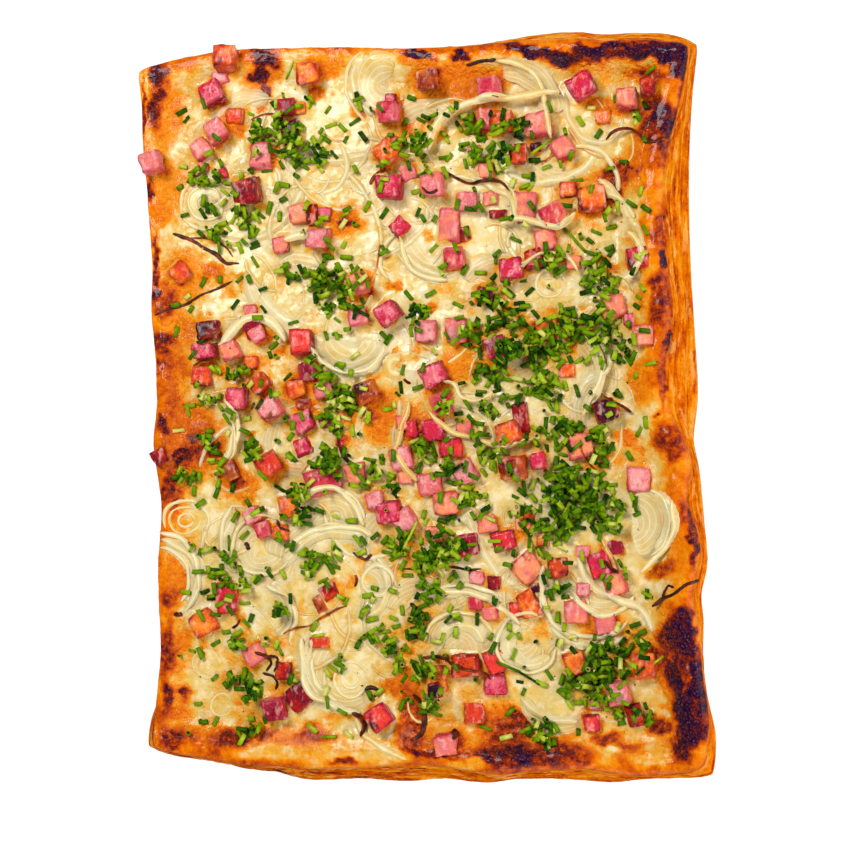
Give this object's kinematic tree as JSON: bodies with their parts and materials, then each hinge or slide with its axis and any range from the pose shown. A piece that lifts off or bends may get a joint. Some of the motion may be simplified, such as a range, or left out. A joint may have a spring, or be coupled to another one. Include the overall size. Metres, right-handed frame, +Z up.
{
  "type": "puff pastry pizza",
  "caption": "Rectangular baked puff pastry pizza with a puffed layered rim, browned cream, ham dice, onion slices and chopped chives.",
  "frame": {"origin": "middle of the sheet's bounding box, on the surface it rests on", "axes": "+Z up, +Y along the long side towards the edge with the paler rim, +X along the short side towards the tall layered edge"},
  "size_m": [0.274, 0.3511, 0.0258],
  "materials": {
    "pastry": "golden baked crust, satin",
    "cream": "baked cream with browned spots, slightly glossy",
    "ham_pink": "moist pink ham",
    "ham_red": "moist deep red ham",
    "ham_roast": "roasted orange-red ham",
    "ham_dark": "dark roasted ham",
    "onion": "soft translucent onion",
    "chive": "fresh green cut chives"
  },
  "bodies": {
    "root": {"pastry": "pastry", "cream": "cream", "ham_01": "ham_roast", "ham_02": "ham_red", "ham_03": "ham_pink", "ham_04": "ham_pink", "ham_05": "ham_dark", "ham_06": "ham_roast", "ham_07": "ham_pink", "ham_08": "ham_roast", "ham_09": "ham_red", "ham_10": "ham_pink", "ham_11": "ham_roast", "ham_12": "ham_pink", "ham_13": "ham_roast", "ham_14": "ham_pink", "ham_15": "ham_red", "ham_16": "ham_pink", "ham_17": "ham_dark", "ham_18": "ham_dark", "ham_19": "ham_red", "ham_20": "ham_pink", "ham_21": "ham_red", "ham_22": "ham_red", "ham_23": "ham_dark", "ham_24": "ham_pink", "ham_25": "ham_roast", "ham_26": "ham_pink", "ham_27": "ham_pink", "ham_28": "ham_red", "ham_29": "ham_pink", "ham_30": "ham_red", "ham_31": "ham_red", "ham_32": "ham_roast", "ham_33": "ham_red", "ham_34": "ham_roast", "ham_35": "ham_roast", "ham_36": "ham_red", "ham_37": "ham_dark", "ham_38": "ham_red", "ham_39": "ham_pink", "ham_40": "ham_roast", "ham_41": "ham_red", "onion_01": "onion", "onion_02": "onion", "onion_03": "onion", "onion_04": "onion", "onion_05": "onion", "onion_06": "onion", "onion_07": "onion", "onion_08": "onion", "onion_09": "onion", "onion_10": "onion", "onion_11": "onion", "onion_12": "onion", "onion_13": "onion", "onion_14": "onion", "onion_15": "onion", "onion_16": "onion", "onion_17": "onion"}
  },
  "joints": []
}
